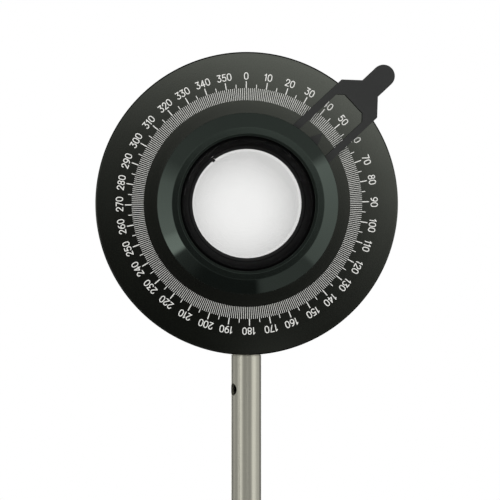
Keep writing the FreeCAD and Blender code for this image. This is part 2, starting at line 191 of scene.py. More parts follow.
def turned(name, profile, place=about_axis, segments=288, crease=30):
    """Solid turned from a closed profile of (radius, height) points."""
    count = len(profile)
    vertices = []
    for step in range(segments):
        turn = FULL_TURN * step / segments
        vertices += [place(radius, turn, height) for radius, height in profile]
    faces = []
    for step in range(segments):
        here = step * count
        there = (step + 1) % segments * count
        for point in range(count):
            after = (point + 1) % count
            if profile[point][0] > 0 and profile[after][0] > 0:
                faces.append((here + point, here + after, there + after, there + point))
            elif profile[point][0] > 0:
                faces.append((here + point, here + after, there + point))
            elif profile[after][0] > 0:
                faces.append((here + point, here + after, there + after))
    return finished_mesh(name, vertices, faces, crease)


def inset(loop, distance):
    """The loop moved to its left by a distance, corner by corner."""
    moved = []
    for before, here, after in zip(loop[-1:] + loop[:-1], loop, loop[1:] + loop[:1]):
        into = (Vector(here) - Vector(before)).normalized()
        out = (Vector(after) - Vector(here)).normalized()
        left_in = Vector((-into.y, into.x))
        left_out = Vector((-out.y, out.x))
        across = (left_in + left_out).normalized()
        moved.append(tuple(Vector(here) + across * distance / max(across.dot(left_in), 0.3)))
    return moved


def plate(name, loops, back, front, bevel, place, steps=3):
    """Flat plate from an outer loop and holes, all with the plate on their left, with rounded edges."""
    heights = []
    for step in range(steps + 1):
        angle = math.pi / 2 * step / steps
        heights.append((bevel * (1 - math.sin(angle)), back + bevel * (1 - math.cos(angle))))
    levels = heights + [(across, back + front - up) for across, up in reversed(heights)]
    levels = [(bevel + GUARD, back)] + levels + [(bevel + GUARD, front)]
    vertices = []
    faces = []
    ends = ([], [])
    for loop in loops:
        rings = []
        for distance, height in levels:
            start = len(vertices)
            vertices += [place(x, y, height) for x, y in inset(loop, distance)]
            rings.append(range(start, start + len(loop)))
        for low, high in zip(rings, rings[1:]):
            for here in range(len(loop)):
                after = (here + 1) % len(loop)
                faces.append((low[here], low[after], high[after], high[here]))
        ends[0].append(rings[0])
        ends[1].append(rings[-1])
    for rings in ends:
        numbers = [number for ring in rings for number in ring]
        outlines = [[vertices[number] for number in ring] for ring in rings]
        faces += [tuple(numbers[corner] for corner in triangle) for triangle in tessellate_polygon(outlines)]
    return finished_mesh(name, vertices, faces)


def cut_with(mesh, *cutters):
    """The mesh with the cutters' volumes taken away."""
    body = bpy.data.objects.new("workpiece", mesh)
    bpy.context.scene.collection.objects.link(body)
    tools = []
    for cutter in cutters:
        tool = bpy.data.objects.new("cutter", cutter)
        bpy.context.scene.collection.objects.link(tool)
        modifier = body.modifiers.new("cut", "BOOLEAN")
        modifier.operation = "DIFFERENCE"
        modifier.solver = "EXACT"
        modifier.object = tool
        tools.append(tool)
    result = bpy.data.meshes.new_from_object(body.evaluated_get(bpy.context.evaluated_depsgraph_get()))
    for thing in [body] + tools:
        bpy.data.objects.remove(thing)
    result.polygons.foreach_set("use_smooth", [True] * len(result.polygons))
    result.set_sharp_from_angle(angle=math.radians(30))
    return result


def add_piece(name, mesh, material, body, stands_for=()):
    """Puts a mesh into the scene with its finish, on its body, in place of its CAD nodes."""
    mesh.materials.clear()
    mesh.materials.append(material)
    piece = bpy.data.objects.new(name, mesh)
    bpy.context.scene.collection.objects.link(piece)
    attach(piece, body)
    if stands_for:
        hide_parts(*stands_for)
    return piece


def dress(nodes, material):
    """Gives CAD nodes that keep their shape a finish."""
    for name in nodes:
        for slot in frame["nodes"][name].material_slots:
            slot.material = material


# Finishes


def add_node(tree, kind, sockets, **options):
    """Adds a node, sets its options, and sets or links its sockets."""
    node = tree.nodes.new(kind)
    for option, value in options.items():
        setattr(node, option, value)
    for socket, value in sockets.items():
        if isinstance(value, bpy.types.NodeSocket):
            tree.links.new(value, node.inputs[socket])
        else:
            node.inputs[socket].default_value = value
    return node


def vector_node(tree, operation, *values):
    """Outputs of one sum on vectors."""
    return add_node(tree, "ShaderNodeVectorMath", dict(enumerate(values)), operation=operation).outputs


def new_finish(name, **constants):
    """Material with its shader's plain sockets set, and where its pattern starts: the place on the object."""
    material = bpy.data.materials.new(name)
    material.use_nodes = True
    tree = material.node_tree
    shader = tree.nodes["Principled BSDF"]
    for socket, value in constants.items():
        shader.inputs[socket.replace("_", " ")].default_value = value
    place = tree.nodes.new("ShaderNodeTexCoord").outputs["Object"]
    return material, tree, shader, place


def noise(tree, vector, scale, detail=3.0, roughness=0.5):
    """Soft noise over a vector, from 0 to 1."""
    sockets = {"Vector": vector, "Scale": scale, "Detail": detail, "Roughness": roughness}
    return add_node(tree, "ShaderNodeTexNoise", sockets).outputs["Fac"]


def distance_from(tree, place, centre):
    """Distance from a line that runs through a centre along the optical axis."""
    centred = vector_node(tree, "SUBTRACT", place, centre)[0]
    flat = vector_node(tree, "MULTIPLY", centred, (1, 0, 1))[0]
    return vector_node(tree, "LENGTH", flat)["Value"]


def ring_noise(tree, place, per_metre, detail=2.0):
    """Noise that changes only with the distance from the optical axis, like the marks of turning."""
    sockets = {"W": distance_from(tree, place, (0, 0, AXIS_Z)), "Scale": per_metre, "Detail": detail}
    return add_node(tree, "ShaderNodeTexNoise", sockets, noise_dimensions="1D").outputs["Fac"]


def stretched(tree, place, factors):
    """The place with each axis stretched."""
    return vector_node(tree, "MULTIPLY", place, factors)[0]


def ranged(tree, value, low, high, start=0.0, end=1.0):
    """A value brought from one range into another."""
    sockets = {"Value": value, "From Min": start, "From Max": end, "To Min": low, "To Max": high}
    return add_node(tree, "ShaderNodeMapRange", sockets).outputs["Result"]


def math_node(tree, operation, *values):
    """Result of one sum on values or sockets."""
    return add_node(tree, "ShaderNodeMath", dict(enumerate(values)), operation=operation).outputs[0]


def lying_within(tree, value, start, end, soft_start, soft_end):
    """1 where a value lies between two bounds, with soft edges centred on them, and 0 elsewhere."""
    rising = ranged(tree, value, 0.0, 1.0, start - soft_start, start + soft_start)
    falling = ranged(tree, value, 1.0, 0.0, end - soft_end, end + soft_end)
    return math_node(tree, "MULTIPLY", rising, falling)


def mixed(tree, factor, first, second):
    """Value between two others."""
    return add_node(tree, "ShaderNodeMix", {0: factor, 2: first, 3: second}).outputs[0]


def blended(tree, factor, first, second):
    """Colour between two others."""
    node = add_node(tree, "ShaderNodeMix", {}, data_type="RGBA")
    for number, value in ((0, factor), (6, first), (7, second)):
        if isinstance(value, bpy.types.NodeSocket):
            tree.links.new(value, node.inputs[number])
        elif number == 0:
            node.inputs[number].default_value = value
        else:
            node.inputs[number].default_value = (*value[:3], 1)
    return node.outputs[2]


def bumped(tree, shader, *layers):
    """Bump from layers of (height, depth in metres), the later ones on the earlier."""
    normal = None
    for height, depth in layers:
        sockets = {"Height": height, "Strength": 1.0, "Distance": depth}
        if normal:
            sockets["Normal"] = normal
        normal = add_node(tree, "ShaderNodeBump", sockets).outputs["Normal"]
    tree.links.new(normal, shader.inputs["Normal"])


def anodised_black(colour, roughness):
    """Satin black anodising over a turned face: fine rings, cloudy dye and an even grain."""
    material, tree, shader, place = new_finish("anodised_black", IOR=1.75, Specular_Tint=(0.94, 1, 0.87, 1))
    rings = ring_noise(tree, place, 5000.0)
    broad = ring_noise(tree, place, 260.0)
    cloud = noise(tree, place, 45.0, 4.0)
    grain = noise(tree, place, 5200.0, 2.0)
    dark = blended(tree, cloud, [part * 0.7 for part in colour], [part * 1.3 for part in colour])
    tree.links.new(dark, shader.inputs["Base Color"])
    uneven = math_node(tree, "MULTIPLY", cloud, broad)
    tree.links.new(ranged(tree, uneven, roughness - 0.03, roughness + 0.05), shader.inputs["Roughness"])
    bumped(tree, shader, (rings, 0.5e-6), (grain, 1.5e-6))
    return material


def gloss_black(colour, roughness):
    """Glossy black of the hub ring, polished on the lathe down to its dull lip."""
    material, tree, shader, place = new_finish("gloss_black", IOR=1.75, Specular_Tint=(0.8, 1, 0.86, 1))
    rings = ring_noise(tree, place, 3200.0)
    cloud = noise(tree, place, 70.0, 5.0)
    wear = noise(tree, place, 900.0, 3.0)
    dark = blended(tree, cloud, [part * 0.7 for part in colour], [part * 1.3 for part in colour])
    tree.links.new(dark, shader.inputs["Base Color"])
    uneven = math_node(tree, "MULTIPLY", cloud, wear)
    polish = ranged(tree, uneven, roughness - 0.02, roughness + 0.05)
    polished = ranged(tree, distance_from(tree, place, (0, 0, AXIS_Z)), 0.0, 1.0, 22.9 * MM, 23.1 * MM)
    tree.links.new(mixed(tree, polished, 1.0, polish), shader.inputs["Roughness"])
    bumped(tree, shader, (rings, 0.3e-6), (cloud, 6e-6))
    return material


def matte_black(colour, roughness):
    """Dull black of the barrel, snap ring and collar, with painted shade: paler near the aperture and darker
    outward, under the hub ring's lip.
    """
    material, tree, shader, place = new_finish("matte_black", IOR=1.35, Specular_IOR_Level=0.05)
    rings = ring_noise(tree, place, 2600.0)
    grain = noise(tree, place, 3800.0, 2.0)
    cloud = noise(tree, place, 90.0, 4.0)
    dark = blended(tree, cloud, [part * 0.6 for part in colour], [part * 1.4 for part in colour])
    # Painted shade: the black is paler near the aperture and darkens outward, where the hub ring's lip shades
    # the funnel
    painted_light_near_aperture = ranged(tree, distance_from(tree, place, (0, 0, AXIS_Z)), 1.0, 0.0, 18.9 * MM, 20.7 * MM)
    black_with_painted_shade = blended(tree, painted_light_near_aperture, dark, [part * 3.8 for part in colour])
    tree.links.new(black_with_painted_shade, shader.inputs["Base Color"])
    tree.links.new(ranged(tree, cloud, roughness - 0.05, roughness + 0.05), shader.inputs["Roughness"])
    bumped(tree, shader, (rings, 1.2e-6), (grain, 2e-6))
    return material


def painted_dark(colour, roughness):
    """Matte stove paint of the pointer, with a fine orange peel."""
    material, tree, shader, place = new_finish("painted_dark", IOR=1.5)
    peel = noise(tree, place, 2400.0, 2.0)
    cloud = noise(tree, place, 120.0, 4.0)
    dark = blended(tree, cloud, [part * 0.88 for part in colour], [part * 1.12 for part in colour])
    tree.links.new(dark, shader.inputs["Base Color"])
    tree.links.new(ranged(tree, cloud, roughness - 0.04, roughness + 0.04), shader.inputs["Roughness"])
    bumped(tree, shader, (peel, 5e-6))
    return material


def filled_white(colour):
    """White paint in the marks and numbers, slightly uneven."""
    material, tree, shader, place = new_finish("filled_white", IOR=1.45, Roughness=0.5)
    speckle = noise(tree, place, 2500.0, 3.0)
    white = blended(
        tree, ranged(tree, speckle, 0.0, 1.0, 0.35, 0.65), [part * 0.9 for part in colour], colour
    )
    tree.links.new(white, shader.inputs["Base Color"])
    bumped(tree, shader, (speckle, 3e-6))
    return material


def ground_steel(name, colour, roughness, bore=None):
    """Stainless steel ground round its length: hair-fine rings, faint streaks and cloudy sheen.

    A bore is a drilled hole's middle, direction and radius. Its wall is dull, and painted black away from its
    ends as shade deep in the hole.
    """
    material, tree, shader, place = new_finish(
        name, Metallic=1.0, Anisotropic=0.75, Anisotropic_Rotation=0.25
    )
    tangent = tree.nodes.new("ShaderNodeTangent")
    tangent.direction_type = "RADIAL"
    tangent.axis = "Z"
    tree.links.new(tangent.outputs["Tangent"], shader.inputs["Tangent"])
    hairs = noise(tree, stretched(tree, place, (1, 1, 45)), 500.0, 3.0)
    streaks = noise(tree, stretched(tree, place, (1, 1, 0.03)), 900.0, 2.0)
    cloud = noise(tree, place, 60.0, 4.0)
    shade = ranged(tree, math_node(tree, "MULTIPLY", hairs, streaks), 0.0, 1.0, 0.1, 0.4)
    steel = blended(tree, shade, [part * 0.9 for part in colour], [part * 1.04 for part in colour])
    polish = ranged(tree, cloud, roughness - 0.04, roughness + 0.04)
    if bore:
        centre, along, radius = bore
        arm = vector_node(tree, "SUBTRACT", place, centre)[0]
        away = vector_node(tree, "LENGTH", vector_node(tree, "CROSS_PRODUCT", arm, along)[0])["Value"]
        drilled = ranged(tree, away, 1.0, 0.0, radius, radius + 0.02 * MM)
        across = add_node(tree, "ShaderNodeSeparateXYZ", {"Vector": place}).outputs["X"]
        # Painted shade: deep inside the hole, away from its ends, the wall is painted black
        painted_shade_deep = ranged(tree, math_node(tree, "ABSOLUTE", across), 1.0, 0.0, 3.9 * MM, 4.2 * MM)
        steel = blended(tree, math_node(tree, "MULTIPLY", drilled, painted_shade_deep), steel, (0.02, 0.019, 0.017))
        polish = mixed(tree, drilled, polish, 0.85)
    tree.links.new(steel, shader.inputs["Base Color"])
    tree.links.new(polish, shader.inputs["Roughness"])
    bumped(tree, shader, (hairs, 1.2e-6))
    return material


def clear_glass():
    """Polished optical glass with a coating that mirrors little, clear with a very faint cloud."""
    material, tree, shader, place = new_finish(
        "optical_glass", IOR=1.38, Transmission_Weight=1.0, Roughness=0.0
    )
    cloud = noise(tree, place, 40.0, 3.0)
    clear = blended(tree, cloud, (0.992, 0.996, 0.993), (0.998, 1, 0.999))
    tree.links.new(clear, shader.inputs["Base Color"])
    return material


def retarder_clear(colour):
    """Clear retarder film with a faint warm cast. Painted shade darkens it outward from a clear spot low on
    the left, and a painted highlight lightens a thin ring at its border.
    """
    material, tree, shader, place = new_finish(
        "retarder_clear", IOR=1.3, Transmission_Weight=1.0, Roughness=0.0
    )
    cloud = noise(tree, place, 60.0, 3.0)
    tint = blended(tree, cloud, [part * 0.985 for part in colour], colour)
    # Painted shade: the film darkens outward from this spot low on the left, in place of the shade at the
    # aperture's edge
    away = distance_from(tree, place, (-1.5 * MM, 0, AXIS_Z - 1.8 * MM))
    edge = math_node(tree, "POWER", ranged(tree, away, 0.0, 1.0, 3.5 * MM, 17.4 * MM), 1.8)
    shade = blended(tree, edge, tint, [part * 0.68 for part in colour])
    # Painted highlight: outside this radius the film is lighter than the painted shade just inside it
    painted_highlight_ring = ranged(tree, distance_from(tree, place, (0, 0, AXIS_Z)), 0.0, 1.0, 17.2 * MM, 17.4 * MM)
    film_with_painted_light = blended(tree, painted_highlight_ring, shade, [part * 0.78 for part in colour])
    tree.links.new(film_with_painted_light, shader.inputs["Base Color"])
    return material


def slip_white(colour):
    """Milky low-friction plastic of the slip rings."""
    material, tree, shader, place = new_finish("slip_white", IOR=1.4, Roughness=0.45)
    cloud = noise(tree, place, 300.0, 3.0)
    milky = blended(tree, cloud, [part * 0.9 for part in colour], colour)
    tree.links.new(milky, shader.inputs["Base Color"])
    bumped(tree, shader, (cloud, 4e-6))
    return material


# Settings


class DiscSettings(bpy.types.PropertyGroup):
    """Sizes and colour of the graduated disc."""

    bore: FloatProperty(
        name="Bore", description="Radius of the barrel's bore", default=23.06 * MM, unit="LENGTH"
    )
    chamfer: FloatProperty(
        name="Chamfer", description="Chamfer of the two rims", default=0.4 * MM, unit="LENGTH"
    )
    rounding: FloatProperty(
        name="Rounding", description="Rounding of its edges", default=0.08 * MM, unit="LENGTH"
    )
    colour: FloatVectorProperty(
        name="Colour", description="Dye of the anodising", subtype="COLOR", default=(0.0022, 0.0026, 0.0018)
    )
    roughness: FloatProperty(
        name="Roughness", description="Roughness of the face", default=0.07, min=0.02, max=1
    )


class ScaleSettings(bpy.types.PropertyGroup):
    """Sizes and colour of the marks and numbers."""

    start: FloatProperty(
        name="Start", description="Inner radius of the marks", default=34.1 * MM, unit="LENGTH"
    )
    short: FloatProperty(
        name="Short", description="Outer radius of a 1 degree mark", default=38.05 * MM, unit="LENGTH"
    )
    middle: FloatProperty(
        name="Middle", description="Outer radius of a 5 degree mark", default=39.3 * MM, unit="LENGTH"
    )
    long: FloatProperty(
        name="Long", description="Outer radius of a 10 degree mark", default=40.3 * MM, unit="LENGTH"
    )
    thin: FloatProperty(
        name="Thin", description="Width of a 1 degree mark", default=0.165 * MM, unit="LENGTH"
    )
    thick: FloatProperty(
        name="Thick", description="Width of a 10 degree mark's outer part", default=0.32 * MM, unit="LENGTH"
    )
    broad: FloatProperty(
        name="Broad", description="Width of a 5 degree mark's outer part", default=0.24 * MM, unit="LENGTH"
    )
    relief: FloatProperty(name="Relief", description="Height of the paint", default=0.02 * MM, unit="LENGTH")
    turn: FloatProperty(
        name="Turn", description="Turn of the whole scale", default=math.radians(-0.77), subtype="ANGLE"
    )
    drift: FloatProperty(
        name="Drift", description="Most that a mark strays from its angle", default=math.radians(0.39),
        subtype="ANGLE",
    )
    drift_turn: FloatProperty(
        name="Drift turn", description="Turn before the top at which the drift is largest",
        default=math.radians(22.6), subtype="ANGLE",
    )
    number_radius: FloatProperty(
        name="Number radius", description="Radius of the numbers' middles", default=42.05 * MM, unit="LENGTH"
    )
    number_high: FloatProperty(
        name="Number height", description="Height of the digits", default=2.45 * MM, unit="LENGTH"
    )
    stroke: FloatProperty(
        name="Stroke", description="Width of the digits' strokes", default=0.3 * MM, unit="LENGTH"
    )
    gap: FloatProperty(name="Gap", description="Gap between digits", default=0.22 * MM, unit="LENGTH")
    colour: FloatVectorProperty(
        name="Colour", description="Paint of the marks", subtype="COLOR", default=(0.96, 0.96, 0.92)
    )


class RodSettings(bpy.types.PropertyGroup):
    """Sizes and colour of the rod."""

    chamfer: FloatProperty(
        name="Chamfer", description="Chamfer of its lower end", default=0.35 * MM, unit="LENGTH"
    )
    neck_long: FloatProperty(name="Neck", description="Length of the neck", default=1.05 * MM, unit="LENGTH")
    neck_step: FloatProperty(
        name="Neck step", description="Step in to the neck", default=0.3 * MM, unit="LENGTH"
    )
    hole: FloatProperty(name="Hole", description="Radius of the cross hole", default=2 * MM, unit="LENGTH")
    hole_high: FloatProperty(
        name="Hole height", description="Height of that hole", default=88.4 * MM, unit="LENGTH"
    )
    hole_turn: FloatProperty(
        name="Hole turn", description="Turn of it from the front to the left", default=math.radians(66),
        subtype="ANGLE",
    )
    colour: FloatVectorProperty(
        name="Colour", description="Colour of the steel", subtype="COLOR", default=(0.66, 0.65, 0.55)
    )
    roughness: FloatProperty(
        name="Roughness", description="Roughness of the grinding", default=0.3, min=0.05, max=1
    )


class HubSettings(bpy.types.PropertyGroup):
    """Sizes and colours of the hub ring, the barrel and the snap ring."""

    bevel_inner: FloatProperty(
        name="Bevel inner", description="Inner radius of the bevel", default=25 * MM, unit="LENGTH"
    )
    bevel_high: FloatProperty(
        name="Bevel height", description="Height of its outer edge", default=4.4 * MM, unit="LENGTH"
    )
    edge_round: FloatProperty(
        name="Edge", description="Rounding of its edges", default=0.3 * MM, unit="LENGTH"
    )
    lip: FloatProperty(name="Lip", description="Inner radius of the lip", default=22.2 * MM, unit="LENGTH")
    lip_round: FloatProperty(
        name="Lip rounding", description="Rounding of the lip", default=0.8 * MM, unit="LENGTH"
    )
    gloss: FloatVectorProperty(
        name="Gloss black", description="Colour of the hub ring", subtype="COLOR",
        default=(0.0025, 0.0034, 0.003),
    )
    matte: FloatVectorProperty(
        name="Matte black", description="Colour of the barrel", subtype="COLOR", default=(0.006, 0.006, 0.006)
    )
    roughness: FloatProperty(
        name="Roughness", description="Roughness of the hub ring", default=0.07, min=0.02, max=1
    )


class PointerSettings(bpy.types.PropertyGroup):
    """Sizes and colour of the pointer."""

    turn: FloatProperty(
        name="Turn", description="Turn of the pointer", default=math.radians(46.9), subtype="ANGLE"
    )
    thick: FloatProperty(
        name="Thickness", description="Thickness of its sheet", default=1.2 * MM, unit="LENGTH"
    )
    edge: FloatProperty(name="Edge", description="Rounding of its edges", default=0.12 * MM, unit="LENGTH")
    colour: FloatVectorProperty(
        name="Colour", description="Paint of the pointer", subtype="COLOR", default=(0.024, 0.025, 0.024)
    )


class OpticSettings(bpy.types.PropertyGroup):
    """Sizes and tint of the glasses and the film."""

    radius: FloatProperty(
        name="Radius", description="Radius of the glasses", default=19.2 * MM, unit="LENGTH"
    )
    chamfer: FloatProperty(
        name="Chamfer", description="Chamfer of their edges", default=0.15 * MM, unit="LENGTH"
    )
    tint: FloatVectorProperty(
        name="Tint", description="Tint of the film", subtype="COLOR", default=(0.985, 0.98, 0.975)
    )


class StageSettings(bpy.types.PropertyGroup):
    """Camera, lights and floor."""

    distance: FloatProperty(name="Distance", description="Camera to disc", default=0.9, unit="LENGTH")
    side: FloatProperty(
        name="Side", description="Turn of the camera to the left", default=math.radians(3), subtype="ANGLE"
    )
    width: FloatProperty(
        name="Width", description="Width of the view at the disc", default=164.9 * MM, unit="LENGTH"
    )
    centre_x: FloatProperty(
        name="Centre X", description="Middle of the view", default=0.94 * MM, unit="LENGTH"
    )
    centre_z: FloatProperty(
        name="Centre Z", description="Middle of the view", default=134.7 * MM, unit="LENGTH"
    )
    floor: FloatProperty(name="Floor", description="Radius of the floor", default=1.6, unit="LENGTH")
    lamp_distance: FloatProperty(name="Lamp distance", description="Lamps to hub", default=0.9, unit="LENGTH")
    lamp_radiance: FloatProperty(
        name="Lamp radiance", description="Strength of white that the lamps read as", default=1.7,
        min=0, max=10,
    )


# Marks and numbers


def scale_turn(sizes, degree):
    """Turn at which a mark stands. The scale is slightly off centre, so its marks drift round the disc."""
    nominal = math.radians(degree)
    return nominal + sizes.turn + sizes.drift * math.cos(nominal + sizes.drift_turn)


def bar(vertices, faces, turn, start, end, wide, relief):
    """One painted mark along a radius, with sloping sides."""
    across = Vector((math.cos(turn), 0, -math.sin(turn)))
    first = len(vertices)
    for radius, pull in ((start, 1), (end, -1)):
        for half, height, step in (
            (wide / 2, -relief, 0), (wide / 2, 0, 0), (wide / 2 - relief, relief, relief),
            (relief - wide / 2, relief, relief), (-wide / 2, 0, 0), (-wide / 2, -relief, 0),
        ):
            vertices.append(about_axis(radius + pull * step, turn, height) + across * half)
    for side in range(6):
        after = (side + 1) % 6
        faces.append((first + side, first + after, first + 6 + after, first + 6 + side))
    faces.append(tuple(first + side for side in range(6)))
    faces.append(tuple(first + 6 + side for side in reversed(range(6))))


def digit_strokes(digit):
    """Middle lines of a digit's strokes in their box, and the digit's own width."""
    bowl = ((0.6, 0.66), (0.6, 0.66))
    shapes = {
        "0": [
            arc_points((0.6, 1.4), (0.6, 0.75), 0, 180, 10)
            + arc_points((0.6, 0.75), (0.6, 0.75), 180, 360, 10)
            + [(1.2, 1.4)]
        ],
        "1": [[(0.42, 0), (0.42, 2.15)], [(0.42, 2.15), (0.0, 1.68)]],
        "2": [
            arc_points((0.58, 1.57), (0.56, 0.58), 185, -35, 12),
            [(1.04, 1.24), (0.02, 0)],
            [(0.02, 0), (1.16, 0)],
        ],
        "3": [
            [(0.06, 2.15), (1.1, 2.15)],
            [(1.1, 2.15), (0.48, 1.3)],
            [(0.48, 1.3)] + arc_points((0.54, 0.65), (0.6, 0.65), 90, -150, 12),
        ],
        "4": [[(0.88, 0), (0.88, 2.15)], [(0.88, 2.15), (0, 0.62)], [(0, 0.62), (1.2, 0.62)]],
        "5": [
            [(1.08, 2.15), (0.2, 2.15)],
            [(0.2, 2.15), (0.1, 1.18)],
            arc_points((0.54, 0.68), (0.62, 0.68), 135, -150, 12),
        ],
        "6": [arc_points(*bowl, 0, 360, 16), arc_points((1.0, 0.72), (1.0, 1.4), 92, 180, 8)],
        "7": [[(0, 2.15), (1.14, 2.15)], [(1.14, 2.15), (0.4, 0)]],
        "8": [
            arc_points((0.58, 1.63), (0.5, 0.52), 0, 360, 14),
            arc_points((0.58, 0.56), (0.58, 0.56), 0, 360, 16),
        ],
    }
    if digit == "9":
        turned_six = [
            [(DIGIT_WIDE - x, DIGIT_HIGH - y) for x, y in stroke] for stroke in digit_strokes("6")[0]
        ]
        return turned_six, DIGIT_WIDE
    widths = {"1": 0.6, "2": 1.16, "3": 1.14, "5": 1.16, "7": 1.14, "8": 1.16}
    return shapes[digit], widths.get(digit, DIGIT_WIDE)


def bead(vertices, faces, line, wide, relief, place):
    """One painted stroke along a line, low and round, with round ends unless the line closes."""
    points = [Vector(point) for point in line]
    closed = (points[0] - points[-1]).length < 1e-9
    if closed:
        points.pop()
    stations = []
    for number, point in enumerate(points):
        before = points[number - 1] if number or closed else point
        after = points[(number + 1) % len(points)] if number < len(points) - 1 or closed else point
        stations.append((point, (after - before).normalized(), 1.0))
    if not closed:
        bends = [math.radians(angle) for angle in (25, 50, 72, 86)]
        (first, ahead, _), (last, onward, _) = stations[0], stations[-1]
        head = [
            (first - ahead * wide / 2 * math.sin(bend), ahead, math.cos(bend)) for bend in reversed(bends)
        ]
        tail = [(last + onward * wide / 2 * math.sin(bend), onward, math.cos(bend)) for bend in bends]
        stations = head + stations + tail
    sides = 8
    start = len(vertices)
    for point, along, narrow in stations:
        left = Vector((-along.y, along.x))
        for side in range(sides):
            angle = FULL_TURN * side / sides
            spot = point + left * (wide / 2 * narrow * math.cos(angle))
            vertices.append(place(spot.x, spot.y, relief * narrow * math.sin(angle)))
    count = len(stations)
    for here in range(count if closed else count - 1):
        there = (here + 1) % count
        for side in range(sides):
            after = (side + 1) % sides
            faces.append((
                start + here * sides + side, start + here * sides + after,
                start + there * sides + after, start + there * sides + side,
            ))
    if not closed:
        faces.append(tuple(start + side for side in range(sides)))
        faces.append(tuple(start + (count - 1) * sides + side for side in reversed(range(sides))))


# Where the numbers stand off their marks, in millimetres along the scale
NUMBER_SHIFTS = {
    20: 0.15, 40: 0.1, 50: -0.2, 60: -0.3, 70: 0.48, 90: 0.15, 100: 0.66, 110: 0.37, 120: 0.81, 130: 0.55,
    140: 0.29, 160: 0.55, 170: 0.22, 180: 0.29, 190: 0.48, 210: 0.18, 220: 0.26, 230: 0.18, 260: 0.22,
    270: 0.26, 320: 0.26,
}


# Operators


class WAVEPLATE_OT_disc(bpy.types.Operator):
    """Turn the graduated disc, with the rod's seat in its rim"""

    bl_idname = "waveplate.disc"
    bl_label = "Graduated Disc"

    def execute(self, context):
        sizes = context.scene.waveplate_disc
        rounding = sizes.rounding
        rim = DISC_RADIUS - sizes.chamfer
        mesh = turned("graduated_disc", eased([
            (sizes.bore, -DISC_THICK, rounding),
            (rim, -DISC_THICK, rounding),
            (DISC_RADIUS, sizes.chamfer - DISC_THICK, rounding),
            (DISC_RADIUS, -sizes.chamfer, rounding),
            (rim, 0, rounding),
            (sizes.bore, 0, rounding),
        ], 2), segments=360)
        low = AXIS_Z - DISC_RADIUS
        seat_radius = 4.9 * MM
        seat_top = low + 0.8 * MM
        hole_top = low + 9.3 * MM
        seat = turned("seat", [
            (0, low - MM), (seat_radius, low - MM), (seat_radius, seat_top), (STUD_HOLE, seat_top),
            (STUD_HOLE, hole_top), (0, hole_top),
        ], about_rod, 64)
        finish = anodised_black(sizes.colour, sizes.roughness)
        add_piece("graduated_disc", cut_with(mesh, seat), finish, "stand", ["scale_disc"])
        return {"FINISHED"}


class WAVEPLATE_OT_marks(bpy.types.Operator):
    """Paint the 360 marks of the scale"""

    bl_idname = "waveplate.marks"
    bl_label = "Scale Marks"

    def execute(self, context):
        sizes = context.scene.waveplate_scale
        vertices = []
        faces = []
        for degree in range(360):
            turn = scale_turn(sizes, degree)
            bar(vertices, faces, turn, sizes.start, sizes.short, sizes.thin, sizes.relief)
            if degree % 5 == 0:
                end = sizes.middle if degree % 10 else sizes.long
                wide = sizes.broad if degree % 10 else sizes.thick
                bar(vertices, faces, turn, sizes.short, end, wide, sizes.relief)
        mesh = finished_mesh("scale_marks", vertices, faces)
        add_piece("scale_marks", mesh, filled_white(sizes.colour), "stand")
        return {"FINISHED"}


class WAVEPLATE_OT_numbers(bpy.types.Operator):
    """Paint the numbers 0 to 350 with their tops outward"""

    bl_idname = "waveplate.numbers"
    bl_label = "Scale Numbers"

    def execute(self, context):
        sizes = context.scene.waveplate_scale
        scale = (sizes.number_high - sizes.stroke) / DIGIT_HIGH
        vertices = []
        faces = []
        for value in range(0, 360, 10):
            glyphs = [digit_strokes(digit) for digit in str(value)]
            step = sizes.gap + sizes.stroke
            across = -(sum(width * scale for _, width in glyphs) + step * (len(glyphs) - 1)) / 2
            across += NUMBER_SHIFTS.get(value, 0) * MM
            turn = scale_turn(sizes, value)
            for strokes, width in glyphs:
                def place(x, y, height, left=across):
                    radius = sizes.number_radius + (y - DIGIT_HIGH / 2) * scale
                    along = Vector((math.cos(turn), 0, -math.sin(turn)))
                    return about_axis(radius, turn, height) + along * (left + x * scale)
                for line in strokes:
                    bead(vertices, faces, line, sizes.stroke / scale, sizes.relief, place)
                across += width * scale + step
        mesh = finished_mesh("scale_numbers", vertices, faces, 60)
        add_piece("scale_numbers", mesh, filled_white(sizes.colour), "stand")
        return {"FINISHED"}


class WAVEPLATE_OT_rod(bpy.types.Operator):
    """Turn the rod and drill its cross hole"""

    bl_idname = "waveplate.rod"
    bl_label = "Rod"

    def execute(self, context):
        sizes = context.scene.waveplate_rod
        neck = ROD_RADIUS - sizes.neck_step
        mesh = turned("rod", eased([
            (0, 0, 0),
            (ROD_RADIUS - sizes.chamfer, 0, 0.05 * MM),
            (ROD_RADIUS, sizes.chamfer, 0.05 * MM),
            (ROD_RADIUS, ROD_TOP - sizes.neck_long, 0.08 * MM),
            (neck, ROD_TOP - sizes.neck_long, 0),
            (neck, ROD_TOP, 0.05 * MM),
            (STUD_HOLE, ROD_TOP, 0),
            (STUD_HOLE, ROD_TOP - 8.5 * MM, 0),
            (0, ROD_TOP - 8.5 * MM, 0),
        ], 3), about_rod, 192)
        # The drill widens from its reach outward, which leaves a countersink at both ends of the hole
        reach = ROD_RADIUS - 0.15 * MM
        end = 6 * MM
        out = Vector((-math.sin(sizes.hole_turn), -math.cos(sizes.hole_turn), 0))

        def across_rod(radius, turn, along):
            side = Vector((out.y, -out.x, 0))
            return (
                out * along
                + side * radius * math.cos(turn)
                + Vector((0, 0, sizes.hole_high + radius * math.sin(turn)))
            )

        drill = turned("drill", [
            (0, -end), (sizes.hole + end - reach, -end), (sizes.hole, -reach), (sizes.hole, reach),
            (sizes.hole + end - reach, end), (0, end),
        ], across_rod, 64)
        bore = (Vector((0, 0, sizes.hole_high)), out, sizes.hole)
        finish = ground_steel("ground_steel", sizes.colour, sizes.roughness, bore)
        add_piece("ground_rod", cut_with(mesh, drill), finish, "stand", ["rod"])
        dress(["rod_stud"], finish)
        return {"FINISHED"}


